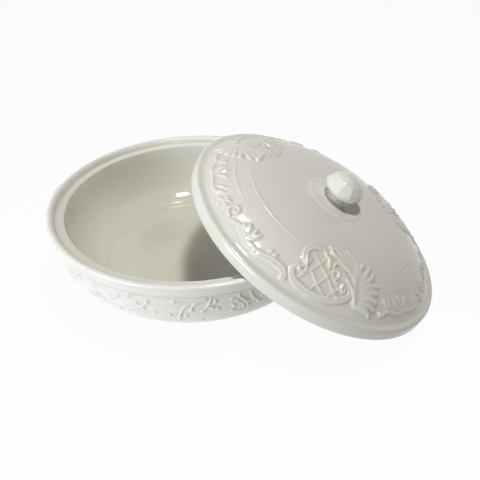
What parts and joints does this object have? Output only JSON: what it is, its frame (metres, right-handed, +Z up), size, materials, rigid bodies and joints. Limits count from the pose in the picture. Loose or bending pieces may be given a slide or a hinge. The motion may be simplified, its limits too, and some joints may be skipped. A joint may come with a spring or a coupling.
{
  "type": "lidded serving bowl",
  "caption": "Low round glazed serving bowl with lug handles and a domed, knobbed lid that leans on its rim and lifts away.",
  "frame": {"origin": "middle of the foot ring, in the plane that the bowl stands on", "axes": "+Z up along the bowl's axis, +X from the bowl's middle towards the leaning lid, through the right handle"},
  "size_m": [0.3468, 0.25, 0.1153],
  "materials": {
    "bowl_glaze": "glossy cream glaze",
    "lid_glaze": "glossy cream glaze"
  },
  "bodies": {
    "bowl": {"bowl": "bowl_glaze", "handle_left": "bowl_glaze", "handle_right": "bowl_glaze"},
    "lid": {"lid": "lid_glaze", "knob": "lid_glaze"}
  },
  "joints": [
    {"name": "lid_lift", "type": "slide", "parent": "bowl", "child": "lid", "axis": [0, 0, 1], "range_m": [0, 0.12]}
  ]
}
